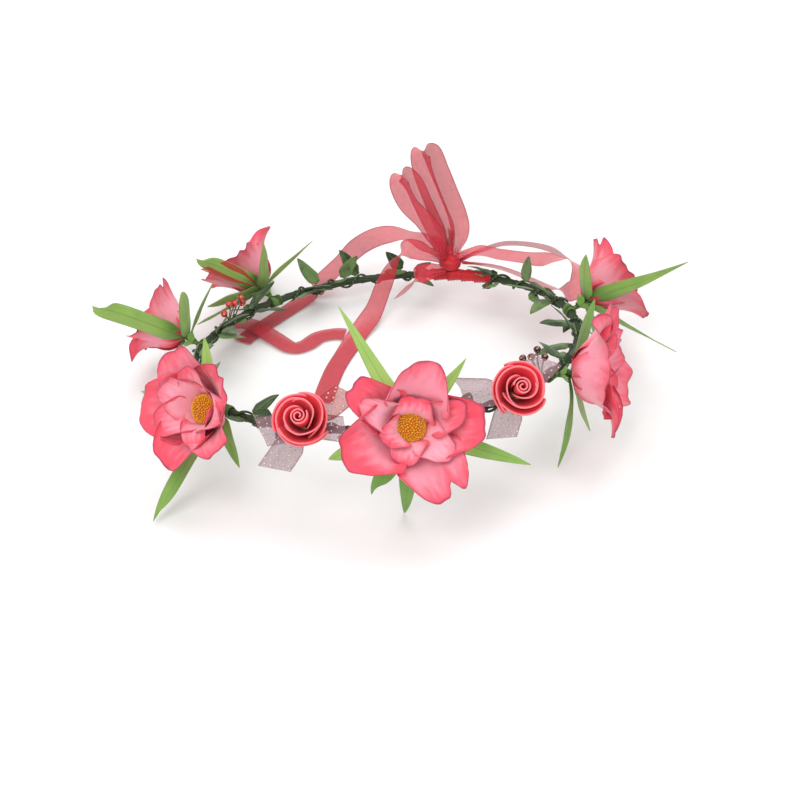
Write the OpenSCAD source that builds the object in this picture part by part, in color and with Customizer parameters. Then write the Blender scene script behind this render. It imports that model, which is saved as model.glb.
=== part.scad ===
// Flower crown: a taped wire hoop with six fabric flowers, two foam roses, a leafy vine
// and an organza ribbon tied in a bow at the back. It rests as it lies on a table, with its
// front raised on the leaf tips. X runs to the wearer's left, -Y is the front, Z is up.

/* [Hoop] */
// Diameter of the hoop, at the middle of its wire
hoop_d = 184; // [180:1:188]
// Diameter of the steel wire
wire_d = 1.6; // [1.2:0.1:2]
// Diameter of the wire with its stem tape
tape_d = 3.8; // [3.4:0.1:4.2]
// Height of the hoop's centre over the table
hoop_z = 30; // [29:0.5:33]
// How far the front of the hoop is raised, in degrees
lean = 11; // [10:0.5:12]
// How far the right side of the hoop is raised, in degrees
roll = 3; // [2:0.5:4]

/* [Flowers] */
// Thickness of the petal fabric with its stiffener
petal_t = 0.7; // [0.6:0.1:0.9]
// Diameter of the yellow centre
disc_d = 13; // [11:0.5:14]
// Length of the sleeve that a stem is wound into on the hoop
sleeve_l = 6; // [5:0.5:7]
// Radial play between a sleeve and the taped wire
sleeve_play = 0.1; // [0.07:0.01:0.1]

/* [Roses] */
// Diameter of a foam rose
rose_d = 25; // [22:0.5:26]
// Height of a foam rose
rose_h = 15; // [13:0.5:17]

/* [Leaves] */
// Width of a satin leaf
leaf_w = 9; // [8:0.5:10]
// Width of a vine leaf
vine_leaf_w = 7; // [6:0.5:8]

/* [Ribbon] */
// Width of the organza ribbon
ribbon_w = 10; // [9:0.5:11]
// Thickness that stands for the ribbon
ribbon_t = 0.6; // [0.5:0.1:0.8]

/* [Hidden] */
// The hoop's centre stands off the origin, so that the whole crown is centred on it
hoop_x = -4.15;
hoop_y = 6.27;
hoop_r = hoop_d / 2;
wire_r = wire_d / 2;
tape_r = tape_d / 2;
tape_play = 0.02;
sleeve_bore_r = tape_r + sleeve_play;
sleeve_r = sleeve_bore_r + 0.9;
stem_r = 1.2;
collar_z = 9.3;
collar_r = 4;
leaf_t = 0.5;
leaf_drop = 1.2;
leaf_spread = 0.3;
petal_gap = 0.5;
petal_count = 5;
inner_share = 0.7;
disc_h = 3;
centre_foot_r = 1.8;
stem_in_centre = 2;
twine_r = 0.6;
twine_pitch = 10;
knot_a = 67.5;
knot_r = 5.5;
knot_up = 7;
hoop_gap = 3;
hoop_fn = 180;
$fn = 48;

// A flower: hoop angle, turn and lift of its face, petal reach, cup angle, spin of its petals
FLOWERS = [
    [-84, -3, 20, 34, 20, 20],
    [218, 14, 26, 32, 28, 10],
    [165, -4, 27, 28, 38, 30],
    [127, 19, 45, 31, 34, 0],
    [-36, 23, 3, 36, 30, 40],
    [12, 12, 20, 30, 38, 15]
];

// A satin leaf: direction round the stem, first pitch, bend, length
FLOWER_LEAVES = [
    [[327, -14, -20, 36], [350, -18, -40, 51], [205, -10, 0, 58],
     [288, -10, -10, 37], [133, -8, 0, 35], [63, -5, -10, 54]],
    [[346, 8, 12, 54], [30, -12, -10, 25], [266, 15, 0, 35], [214, -6, -10, 34]],
    [[116, 30, 0, 66], [148, 8, 0, 38], [16, 10, -7, 25], [250, 10, 0, 36]],
    [[117, 25, 0, 55], [152, 15, 0, 42], [240, 5, 0, 34], [306, 0, 30, 37], [84, 12, 0, 34],
     [56, 12, 0, 36]],
    [[20, 0, 10, 34], [355, 0, -25, 43], [114, 10, 0, 44], [59, 20, 0, 52]],
    [[251, 30, 0, 66], [298, 18, 0, 51], [210, 6, 0, 34], [340, -6, -30, 36]]
];

// A rose: hoop angle, turn and lift of its face
ROSES = [[-113, 18, 40], [-53, -22, 34]];

// An organza piece behind a rose: direction, first pitch, bend, length, width
ROSE_ORGANZA = [
    [[275, -6, 0, 17, 14], [322, -8, 0, 21, 13], [122, 8, 0, 22, 12], [78, 4, 0, 17, 12]],
    [[258, 8, 0, 23, 12], [122, -4, 0, 20, 12], [330, -8, 0, 18, 12]]
];

// Stretches of hoop that the vine is wound on, as pairs of hoop angles
VINE_SPANS = [[-79, -56], [-49, -42], [-31, 7], [17, 60], [75, 122], [132, 160], [170, 213],
              [223, 242], [251, 271]];

// A vine leaf: hoop angle, direction round the hoop (0 outwards, 90 up), heading, length, bend
BACK_VINE_LEAVES = [
    [40, 80, -30, 16, 30], [52, 120, 30, 14, 40], [33, 150, 40, 15, 20], [24, 170, -30, 18, 20],
    [21, 120, 30, 16, 40], [84, 70, 30, 12, 40], [98, 80, 30, 17, 30], [103, 95, -30, 15, 30],
    [111, 75, 35, 18, 30], [113, 160, 60, 14, 20], [117, 140, -40, 16, 40],
    [138, 110, -35, 18, 30], [137, 165, -50, 16, 30], [152, 150, 45, 18, 30],
    [153, 135, -15, 16, 40], [156, 170, 20, 18, 10]
];
FRONT_VINE_LEAVES = [
    [173, 130, 40, 15, 20], [182, 95, 30, 15, 30], [200, 130, -30, 14, 30],
    [228, 130, 40, 14, 20], [234, 40, 40, 12, 40], [262, 200, 30, 12, 30],
    [-67, 165, 30, 14, 20], [-61, 185, -40, 12, 30],
    [-26, 150, 30, 16, 30], [-14, 175, -30, 18, 20], [-7, 120, 30, 16, 30], [0, 150, -30, 18, 20]
];

// Ribbon routes: each point is its place, from the foot of the hoop's centre, and the direction
// that the ribbon's width lies in
LOOP_LEFT = [
    [33, 83, 26, 1, 1, 0], [30, 84, 36, 1, 0, 1], [24, 83, 48, 1, 0, 1], [16, 84, 58, 1, 0, 1],
    [12, 85, 69, 1, 0, 1], [14, 87, 74, 1, 0, 1], [19, 88, 68, 1, 0, 1], [23, 88, 57, 1, 0, 1],
    [27, 88, 46, 1, 0, 1], [31, 87, 36, 1, 0, 1], [35, 86, 27, 1, 1, 0]
];
LOOP_RIGHT = [
    [36, 89, 26, 1, 1, 0], [35, 91, 36, 2, 0, 1], [31, 93, 48, 2, 0, 1], [27, 95, 60, 2, 0, 1],
    [24, 97, 71, 2, 0, 1], [24, 99, 79, 2, 0, 1], [29, 101, 78, 2, 0, 1], [33, 102, 66, 2, 0, 1],
    [37, 101, 54, 2, 0, 1], [41, 98, 42, 1, 0, 0], [42, 93, 33, 1, 0, 0], [39, 88, 25, 1, 1, 0]
];
CURL_LEFT = [
    [33, 80, 21, 0, 1, 1], [26, 75, 24, 0, 1, 1], [19, 72, 23, 1, 1, 1], [13, 71, 17, 1, 1, 0],
    [9, 73, 11, 1, 1, 0]
];
TAIL_LEFT = [
    [33, 88, 22, 0, 1, 1], [26, 93, 28, 0, 1, 1], [15, 98, 32, 0, 1, 0], [2, 101, 31, 0, 1, 1],
    [-10, 102, 25, -1, 1, 2], [-20, 101, 16, -1, 2, 1], [-30, 98, 8, -1, 2, 1],
    [-38, 92, 3, 1, -1, 0], [-48, 83, 1, 1, -1, 0], [-58, 72, 1, 1, -1, 0],
    [-67, 62, 1, 1, -1, 0], [-72, 55, 1, 1, -1, 0]
];
TAIL_CROSS = [
    [-84, 68, 2, 1, 2, 0], [-76, 68, 4, 1, 2, 0], [-67, 66, 4, 1, 2, 0], [-56, 56, 2, 1, 1, 0],
    [-47, 47, 1, 0, 1, 0], [-40, 48, 1, -1, 1, 0], [-33, 55, 1, -1, 2, 0],
    [-25, 57, 1, 0, 1, 0], [-20, 56, 1, 0, 1, 0]
];
TAIL_INNER = [
    [32, 83, 25, 0, 1, 1], [23, 80, 32, 0, 1, 1], [14, 79, 35, 1, 1, 1], [7, 77, 29, 1, 1, 0],
    [1, 73, 18, 2, 1, 0], [-5, 66, 7, 2, 1, 0], [-12, 56, 3, 2, 1, 0], [-19, 42, 1, 2, 1, 0],
    [-25, 27, 1, 3, 1, 0], [-29, 12, 1, 4, 1, 0], [-32, -2, 1, 1, 0, 0]
];
LOOP_SIDE = [
    [41, 85, 23, 0, 1, -1], [52, 87, 27, 0, 1, -1], [64, 86, 31, 0, 1, -1],
    [78, 81, 32, 0, 1, -1], [90, 72, 32, 0, 1, -1], [98, 62, 30, 1, 1, -1],
    [99, 53, 26, 1, 0, 0], [94, 49, 23, 1, -1, -1], [85, 53, 23, 1, 2, -1],
    [75, 61, 24, 1, 2, -1], [63, 70, 25, 1, 2, -1], [52, 76, 25, 1, 2, -1], [42, 81, 24, 0, 1, -1]
];
TAIL_SIDE = [
    [38, 84, 26, 0, 1, 0], [50, 80, 31, 0, 1, 0], [61, 75, 31, 0, 1, 0],
    [73, 69, 32, 0, 1, 0], [84, 61, 35, 0, 1, 1], [92, 55, 38, 1, 2, -1]
];

// ---- Shapes shared by the sub-parts ----

// Catmull-Rom curve through rows of numbers, with n steps between two rows
function smooth(p, n) = [
    for (i = [0 : len(p) - 2])
        let (a = p[max(i - 1, 0)], b = p[i], c = p[i + 1], d = p[min(i + 2, len(p) - 1)])
            for (k = [0 : i == len(p) - 2 ? n : n - 1])
                let (t = k / n)
                    0.5 * (2 * b + (c - a) * t + (2 * a - 5 * b + 4 * c - d) * t * t
                    + (3 * b - a - 3 * c + d) * t * t * t)
];

// Closed solid between two grids of points with the same rows and columns. With wrap, the
// last column joins the first.
module sheet_solid(top, low, wrap = false) {
    rows = len(top);
    cols = len(top[0]);
    last = wrap ? cols - 1 : cols - 2;
    points = [for (row = top) each row, for (row = low) each row];
    function t(i, j) = i * cols + j % cols;
    function b(i, j) = rows * cols + t(i, j);
    function quad(p, q, r, s) = [[p, q, r], [p, r, s]];
    faces = [
        for (i = [0 : rows - 2])
            for (j = [0 : last])
                each concat(quad(t(i, j), t(i, j + 1), t(i + 1, j + 1), t(i + 1, j)),
                            quad(b(i, j), b(i + 1, j), b(i + 1, j + 1), b(i, j + 1))),
        for (j = [0 : last])
            each concat(quad(t(0, j), b(0, j), b(0, j + 1), t(0, j + 1)),
                        quad(t(rows - 1, j), t(rows - 1, j + 1), b(rows - 1, j + 1), b(rows - 1, j))),
        for (i = [0 : rows - 2])
            if (!wrap)
                each concat(quad(t(i, 0), t(i + 1, 0), b(i + 1, 0), b(i, 0)),
                            quad(t(i, cols - 1), b(i, cols - 1), b(i + 1, cols - 1), t(i + 1, cols - 1)))
    ];
    polyhedron(points = points, faces = faces, convexity = 6);
}

// Points of a blade's middle line: it sets out along X, pitched up by pitch and bent by bend
function blade_line(long, pitch, bend, steps) = [
    for (i = 0, p = [0, 0, 0]; i <= steps;
         p = p + long / steps * [cos(pitch + bend * (i + 0.5) / steps), 0,
             sin(pitch + bend * (i + 0.5) / steps)], i = i + 1) p
];

// Half width of a pointed leaf at share s of its length
function leaf_half(s, wide) =
    wide / 2 * (0.25 + 0.75 * pow(sin(180 * pow(s, 0.8)), 0.7)) * (1 - 0.8 * pow(s, 8));

// A thin blade with a shallow fold along its middle. It widens by at most spread at each side
// for each mm that it runs, and square keeps its width to the end.
module blade(long, pitch, bend, wide, square = false, spread = 1) {
    steps = 6;
    line = blade_line(long, pitch, bend, steps);
    function half(s) =
        min(square ? wide / 2 : leaf_half(s, wide), spread * (collar_r + s * long));
    function grid(z) = [
        for (i = [0 : steps])
            [for (j = [-1 : 1]) line[i] + [0, j * half(i / steps), z + 0.1 * abs(j) * half(i / steps)]]
    ];
    sheet_solid(grid(leaf_t / 2), grid(-leaf_t / 2));
}

function unit(v) = v / norm(v);

// A ribbon laid along a route, gathered where it starts in the knot and, for a loop, where
// it comes back to it
module ribbon(route, wide = ribbon_w, from_knot = true, to_knot = false) {
    line = smooth(route, 3);
    n = len(line);
    function gathered(k) = min(1, 0.4 + 0.12 * k);
    function half(i) =
        wide / 2 * (from_knot ? gathered(i) : 1) * (to_knot ? gathered(n - 1 - i) : 1);
    function place(i) = [line[i][0], line[i][1], line[i][2]];
    function along(i) = place(min(i + 1, n - 1)) - place(max(i - 1, 0));
    function across(i) =
        let (w = [line[i][3], line[i][4], line[i][5]], d = along(i) / norm(along(i)))
            unit(w - (w * d) * d);
    function up(i) = unit(cross(along(i), across(i)));
    function side(s) = [
        for (i = [0 : n - 1])
            [for (j = [-1, 1]) place(i) + across(i) * j * half(i) + up(i) * s * ribbon_t / 2]
    ];
    translate([hoop_x, hoop_y, 0]) sheet_solid(side(1), side(-1));
}

// ---- Places ----

// The hoop's own frame, leaning as it rests on the table
module hoop_frame() {
    translate([hoop_x, hoop_y, hoop_z]) rotate([-lean, -roll, 0]) children();
}

// A place on the hoop: X outwards, Y along the wire, Z out of the hoop's plane
module on_hoop(a) {
    hoop_frame() rotate([0, 0, a]) translate([hoop_r, 0, 0]) children();
}

// A bloom's own frame on the hoop: Z the way that it faces, X down
module facing(bloom) {
    on_hoop(bloom[0]) rotate([0, 90 - bloom[2], bloom[1]]) children();
}

// ---- Hoop ----

module hoop_wire() {
    color("dimgray") hoop_frame()
        rotate([0, 0, knot_a + hoop_gap / 2])
            rotate_extrude(angle = 360 - hoop_gap, $fn = hoop_fn) translate([hoop_r, 0])
                circle(r = wire_r, $fn = 48);
}

module stem_tape() {
    color("darkolivegreen") hoop_frame()
        rotate([0, 0, knot_a + hoop_gap / 2])
            rotate_extrude(angle = 360 - hoop_gap, $fn = hoop_fn) translate([hoop_r, 0]) difference() {
                circle(r = tape_r, $fn = 48);
                circle(r = wire_r + tape_play, $fn = 48);
            }
}

// One stretch of twine, wound on the taped hoop from angle a to angle b
module twine(a, b) {
    steps = ceil((b - a) / twine_pitch * 8);
    wind_r = tape_r + twine_r + 0.1;
    function at(i) = a + (b - a) * i / steps;
    function turn(i) = 360 * (at(i) - a) / twine_pitch;
    function ring_of(i) = [
        for (k = [0 : 4])
            let (q = 72 * k, h = wind_r + twine_r * cos(q), s = twine_r * sin(q))
                [(hoop_r + h * cos(turn(i))) * cos(at(i)) - s * sin(at(i)),
                 (hoop_r + h * cos(turn(i))) * sin(at(i)) + s * cos(at(i)), h * sin(turn(i))]
    ];
    rings = [for (i = [0 : steps]) ring_of(i)];
    sides = [
        for (i = [0 : steps - 1])
            for (k = [0 : 4])
                let (m = (k + 1) % 5)
                    each [[5 * i + k, 5 * i + 5 + k, 5 * i + 5 + m], [5 * i + k, 5 * i + 5 + m, 5 * i + m]]
    ];
    ends = [[0, 1, 2, 3, 4], [for (k = [4 : -1 : 0]) 5 * steps + k]];
    hoop_frame() polyhedron(points = [for (r = rings) each r], faces = concat(sides, ends), convexity = 8);
}

module vine_twine() {
    color("darkgreen") for (span = VINE_SPANS) twine(span[0], span[1]);
}

// Vine leaves stand off the wound twine, each in its own direction
module vine_leaf(leaf) {
    start = tape_r + 2 * twine_r + 0.7;
    on_hoop(leaf[0]) rotate([0, -leaf[1], 0]) translate([start, 0, 0]) rotate([0, 0, leaf[2]])
        blade(leaf[3], 0, leaf[4], vine_leaf_w);
}

module vine_leaves_back() {
    color("darkolivegreen") for (leaf = BACK_VINE_LEAVES) vine_leaf(leaf);
}

module vine_leaves_front() {
    color("darkolivegreen") for (leaf = FRONT_VINE_LEAVES) vine_leaf(leaf);
}

module berry_spray(a, psi, spread) {
    berry_r = 1.7;
    on_hoop(a) rotate([0, -psi, 0])
        for (k = [0 : 4]) rotate([0, 0, spread * (k - 2)]) {
            reach = 8 + 2.5 * (k % 2);
            translate([tape_r + 2, 0, 0]) rotate([0, 90, 0]) cylinder(r = 0.4, h = reach, $fn = 24);
            translate([tape_r + 2 + reach, 0, 0]) sphere(r = berry_r, $fn = 24);
        }
}

module berries_left() {
    color("firebrick") berry_spray(147, 112, 20);
}

module berries_right() {
    color("darkred") berry_spray(-41, 110, 22);
}

// ---- Flowers ----

// Cup angle of a flower's inner petals, and where its layers and its centre sit on the stem
function inner_cup(flower) = flower[4] + 14;
outer_z = collar_z + leaf_t + petal_gap;
inner_z = outer_z + petal_t + petal_gap;
function centre_z(flower) = inner_z + petal_t + petal_gap + centre_foot_r * tan(inner_cup(flower));

// One layer of petals cut from a round of fabric and pressed into a cup
module petal_layer(reach, cup, z) {
    around = 8 * petal_count;
    steps = 3;
    hole = (stem_r + 0.15) / cos(cup);
    function lobe(j) = pow(abs(sin(180 * j * petal_count / around)), 0.4);
    function rim(j) = reach * (0.4 + 0.6 * lobe(j));
    function at(i, j, lift) =
        let (d = hole + (rim(j) - hole) * i / steps, a = 360 * j / around)
            [d * cos(cup) * cos(a), d * cos(cup) * sin(a), z + lift + d * sin(cup)];
    function grid(lift) = [for (i = [0 : steps]) [for (j = [0 : around - 1]) at(i, j, lift)]];
    sheet_solid(grid(petal_t), grid(0), true);
}

module petals_outer(i) {
    flower = FLOWERS[i];
    color("palevioletred") facing(flower) rotate([0, 0, flower[5]])
        petal_layer(flower[3], flower[4], outer_z);
}

module petals_inner(i) {
    flower = FLOWERS[i];
    color("lightcoral") facing(flower) rotate([0, 0, flower[5] + 36])
        petal_layer(flower[3] * inner_share, inner_cup(flower), inner_z);
}

// The yellow centre is a dome on a cone that fits the cup of the inner petals
module centre(i) {
    flower = FLOWERS[i];
    disc_r = disc_d / 2;
    cone_h = (disc_r - centre_foot_r) * tan(inner_cup(flower)) + 0.3;
    color("orange") facing(flower) translate([0, 0, centre_z(flower)]) difference() {
        union() {
            cylinder(r1 = centre_foot_r, r2 = disc_r, h = cone_h);
            translate([0, 0, cone_h]) intersection() {
                translate([0, 0, disc_h - disc_r * 1.6]) sphere(r = disc_r * 1.6);
                cylinder(r = disc_r, h = disc_h);
            }
        }
        cylinder(r = stem_r, h = stem_in_centre);
    }
}

module leaves(i) {
    color("yellowgreen") facing(FLOWERS[i]) {
        translate([0, 0, collar_z - leaf_t / 2]) difference() {
            cylinder(r = collar_r, h = leaf_t);
            translate([0, 0, -1]) cylinder(r = stem_r + 0.1, h = 3);
        }
        for (k = [0 : len(FLOWER_LEAVES[i]) - 1])
            let (leaf = FLOWER_LEAVES[i][k])
                rotate([0, 0, leaf[0]])
                    translate([collar_r + 0.2, 0, collar_z - leaf_drop * (k % 2)])
                        blade(leaf[3] - 1, leaf[1], leaf[2], leaf_w, spread = leaf_spread);
    }
}

module calyx(i) {
    color("olivedrab") facing(FLOWERS[i]) difference() {
        translate([0, 0, collar_z - leaf_t / 2 - 4.2]) cylinder(r1 = 1.9, r2 = 3.6, h = 4);
        cylinder(r = stem_r + 0.02, h = 12);
    }
}

// A short stem with its foot wound into a sleeve that can turn on the taped hoop
module stem(bloom, top) {
    color("olive") difference() {
        union() {
            on_hoop(bloom[0]) rotate([90, 0, 0]) cylinder(r = sleeve_r, h = sleeve_l, center = true);
            facing(bloom) cylinder(r = stem_r, h = top);
        }
        on_hoop(bloom[0]) rotate([90, 0, 0]) cylinder(r = sleeve_bore_r, h = sleeve_l + 4, center = true);
    }
}

module flower_stem(i) {
    stem(FLOWERS[i], centre_z(FLOWERS[i]) + stem_in_centre);
}

// ---- Roses ----

module rose_bloom(i) {
    base_z = 8;
    layers = 4;
    color("crimson") facing(ROSES[i]) translate([0, 0, base_z]) rotate_extrude() difference() {
        polygon([[0, 0], [3, 0], [rose_d * 0.36, rose_h * 0.25], [rose_d / 2, rose_h * 0.6],
                 [rose_d * 0.47, rose_h * 0.8], [rose_d * 0.3, rose_h * 0.9], [0, rose_h]]);
        for (k = [1 : layers - 1])
            translate([rose_d / 2 * k / layers - 0.4, rose_h * 0.6]) square([0.8, rose_h]);
        square([stem_r, 4]);
    }
}

module rose_stem(i) {
    stem(ROSES[i], 11.9);
}

module rose_organza(i) {
    color("rosybrown") facing(ROSES[i]) {
        translate([0, 0, 6.5]) difference() {
            cylinder(r = collar_r, h = leaf_t);
            translate([0, 0, -1]) cylinder(r = stem_r + 0.1, h = 3);
        }
        for (piece = ROSE_ORGANZA[i])
            rotate([0, 0, piece[0]]) translate([collar_r + 0.1, 0, 6.8])
                blade(piece[3], piece[1], piece[2], piece[4], true, leaf_spread);
    }
}

// ---- Ribbon ----

module ribbon_binding() {
    color("crimson") on_hoop(knot_a) rotate([90, 0, 0]) difference() {
        cylinder(r = tape_r + 1.6, h = 12, center = true);
        cylinder(r = tape_r + 0.02, h = 16, center = true);
    }
}

module bow_knot() {
    color("crimson") on_hoop(knot_a) difference() {
        translate([0.5, 0, knot_up]) sphere(r = knot_r);
        rotate([90, 0, 0]) cylinder(r = tape_r + 1.65, h = 30, center = true);
    }
}

module bow_loop_left() {
    color("indianred") ribbon(LOOP_LEFT, to_knot = true);
}

module bow_loop_right() {
    color("indianred") ribbon(LOOP_RIGHT, to_knot = true);
}

module ribbon_curl_left() {
    color("indianred") ribbon(CURL_LEFT);
}

module ribbon_tail_left() {
    color("indianred") ribbon(TAIL_LEFT);
}

module ribbon_tail_cross() {
    color("indianred") ribbon(TAIL_CROSS, from_knot = false);
}

module ribbon_tail_inner() {
    color("indianred") ribbon(TAIL_INNER);
}

module ribbon_loop_side() {
    color("indianred") ribbon(LOOP_SIDE, to_knot = true);
}

module ribbon_tail_side() {
    color("indianred") ribbon(TAIL_SIDE);
}

// A short strip of ribbon that lies along a leaf of the back left flower
module organza_strip() {
    color("orangered") facing(FLOWERS[3]) rotate([0, 0, 117])
        translate([collar_r + 3, 0, collar_z + 3]) blade(42, 25, 0, ribbon_w, true);
}

hoop_wire();
stem_tape();
vine_twine();
vine_leaves_back();
vine_leaves_front();
ribbon_binding();
bow_knot();
bow_loop_left();
bow_loop_right();
ribbon_curl_left();
ribbon_tail_left();
ribbon_tail_cross();
ribbon_tail_inner();
ribbon_loop_side();
ribbon_tail_side();
berries_left();
berries_right();
organza_strip();
petals_outer(0);  // front_petals_outer
petals_inner(0);  // front_petals_inner
centre(0);  // front_centre
leaves(0);  // front_leaves
calyx(0);  // front_calyx
flower_stem(0);  // front_stem
petals_outer(1);  // front_left_petals_outer
petals_inner(1);  // front_left_petals_inner
centre(1);  // front_left_centre
leaves(1);  // front_left_leaves
calyx(1);  // front_left_calyx
flower_stem(1);  // front_left_stem
petals_outer(2);  // left_petals_outer
petals_inner(2);  // left_petals_inner
centre(2);  // left_centre
leaves(2);  // left_leaves
calyx(2);  // left_calyx
flower_stem(2);  // left_stem
petals_outer(3);  // back_left_petals_outer
petals_inner(3);  // back_left_petals_inner
centre(3);  // back_left_centre
leaves(3);  // back_left_leaves
calyx(3);  // back_left_calyx
flower_stem(3);  // back_left_stem
petals_outer(4);  // front_right_petals_outer
petals_inner(4);  // front_right_petals_inner
centre(4);  // front_right_centre
leaves(4);  // front_right_leaves
calyx(4);  // front_right_calyx
flower_stem(4);  // front_right_stem
petals_outer(5);  // right_petals_outer
petals_inner(5);  // right_petals_inner
centre(5);  // right_centre
leaves(5);  // right_leaves
calyx(5);  // right_calyx
flower_stem(5);  // right_stem
rose_bloom(0);  // rose_left_bloom
rose_organza(0);  // rose_left_organza
rose_stem(0);  // rose_left_stem
rose_bloom(1);  // rose_right_bloom
rose_organza(1);  // rose_right_organza
rose_stem(1);  // rose_right_stem
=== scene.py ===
"""Looks of the flower crown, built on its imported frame: petals, foam roses, satin leaves, vine, ribbon and
trim.

Lists are in millimetres and degrees; everything that goes to Blender is in metres.
"""

import bpy
import numpy as np
from mathutils import Matrix, Vector


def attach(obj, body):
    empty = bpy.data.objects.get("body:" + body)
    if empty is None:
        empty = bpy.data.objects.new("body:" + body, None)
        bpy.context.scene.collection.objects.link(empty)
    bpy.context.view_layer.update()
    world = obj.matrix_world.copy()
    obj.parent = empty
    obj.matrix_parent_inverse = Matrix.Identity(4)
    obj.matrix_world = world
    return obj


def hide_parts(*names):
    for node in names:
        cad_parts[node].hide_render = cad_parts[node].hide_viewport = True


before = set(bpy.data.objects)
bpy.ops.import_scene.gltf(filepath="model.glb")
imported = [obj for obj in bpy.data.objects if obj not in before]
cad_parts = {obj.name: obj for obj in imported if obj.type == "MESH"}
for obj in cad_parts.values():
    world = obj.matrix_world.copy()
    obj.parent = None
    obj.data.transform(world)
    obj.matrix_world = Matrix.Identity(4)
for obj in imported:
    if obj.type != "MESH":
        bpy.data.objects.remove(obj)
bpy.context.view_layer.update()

MM = 0.001

# ---- The crown's measures, as in the part's source ----

HOOP_X, HOOP_Y, HOOP_Z = -4.15, 6.27, 30
HOOP_R = 92
WIRE_R = 0.8
TAPE_R = 1.9
LEAN, ROLL = 11, 3
KNOT_ANGLE = 67.5
COLLAR_Z, COLLAR_R = 9.3, 4
LEAF_DROP = 1.2
LEAF_W, VINE_LEAF_W = 9, 7
RIBBON_W = 10
FLOOR_GAP = 0.1  # leaf tips lie on the floor, not in it
RIBBON_GAP = 0.35  # ribbon lies this far above the floor
TURN = 6.283  # a whole turn in radians, for maps and laps
GOLDEN_TURN = 2.39996  # turn between two grains of a sunflower spiral
DISC_D = 13
ROSE_D, ROSE_H = 25, 15
SLEEVE_L, SLEEVE_R = 6, 2.9
STEM_R = 1.2

# ---- Camera ----

ELEVATION = 33.69
CAMERA_ROLL = -3.5
CAMERA_AWAY = 1.0
LENS_MM = 94.37
AIM_RIGHT, AIM_DOWN = 0.0071, 0.0259


def aim_camera():
    """Places the camera in front of the crown, above it and rolled a little, with its aim beside the hoop's
    centre."""
    tilt, roll = np.radians([ELEVATION, CAMERA_ROLL])
    back = np.array([0, -np.cos(tilt), np.sin(tilt)])
    level = np.array([1.0, 0, 0])
    above = np.cross(back, level)
    right = level * np.cos(roll) + above * np.sin(roll)
    up = above * np.cos(roll) - level * np.sin(roll)
    centre = np.array([HOOP_X, HOOP_Y, HOOP_Z]) * MM
    place = centre + back * CAMERA_AWAY
    back = place - (centre + right * AIM_RIGHT - up * AIM_DOWN)
    back /= np.linalg.norm(back)
    right = np.cross(up, back)
    right /= np.linalg.norm(right)
    up = np.cross(back, right)
    data = bpy.data.cameras.new("camera")
    data.lens = LENS_MM
    data.sensor_width = 36
    data.clip_start = 0.05
    camera = bpy.data.objects.new("camera", data)
    bpy.context.scene.collection.objects.link(camera)
    camera.matrix_world = Matrix([[*row, p] for row, p in zip(np.stack([right, up, back], 1), place)]
                                 + [[0, 0, 0, 1]])
    bpy.context.scene.camera = camera


aim_camera()

# ---- Places ----


def turned(x=0, y=0, z=0):
    """A turn about X, then Y, then Z, as a 4x4 array."""
    a, b, c = np.radians([x, y, z])
    about_x = np.array([[1, 0, 0], [0, np.cos(a), -np.sin(a)], [0, np.sin(a), np.cos(a)]])
    about_y = np.array([[np.cos(b), 0, np.sin(b)], [0, 1, 0], [-np.sin(b), 0, np.cos(b)]])
    about_z = np.array([[np.cos(c), -np.sin(c), 0], [np.sin(c), np.cos(c), 0], [0, 0, 1]])
    whole = np.eye(4)
    whole[:3, :3] = about_z @ about_y @ about_x
    return whole


def moved(x=0, y=0, z=0):
    """A move, as a 4x4 array."""
    whole = np.eye(4)
    whole[:3, 3] = x, y, z
    return whole


def xyz(*parts):
    """Points from their x, y and z, each an array or a number, in a shared grid."""
    return np.stack(np.broadcast_arrays(*parts), -1)


def put(place, points):
    """Points carried by a 4x4 place."""
    return points @ place[:3, :3].T + place[:3, 3]


HOOP = moved(HOOP_X, HOOP_Y, HOOP_Z) @ turned(x=-LEAN, y=-ROLL)


def on_hoop(angle):
    """Place on the hoop's wire: X outwards, Y along the wire, Z out of the hoop's plane."""
    return HOOP @ turned(z=angle) @ moved(x=HOOP_R)


def facing(angle, turn, lift):
    """Frame of a bloom on the hoop: Z the way that it faces, X down."""
    return on_hoop(angle) @ turned(y=90 - lift, z=turn)


# ---- Meshes ----


def grid_faces(rows, columns, wrap):
    """Quads of a grid, counter-clockwise for rows along X and columns along Y; wrap joins the last column
    to the first."""
    i, j = np.meshgrid(np.arange(rows - 1), np.arange(columns if wrap else columns - 1), indexing="ij")
    k = (j + 1) % columns
    quads = xyz(i * columns + j, (i + 1) * columns + j, (i + 1) * columns + k, i * columns + k)
    return quads.reshape(-1, 4)


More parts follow.
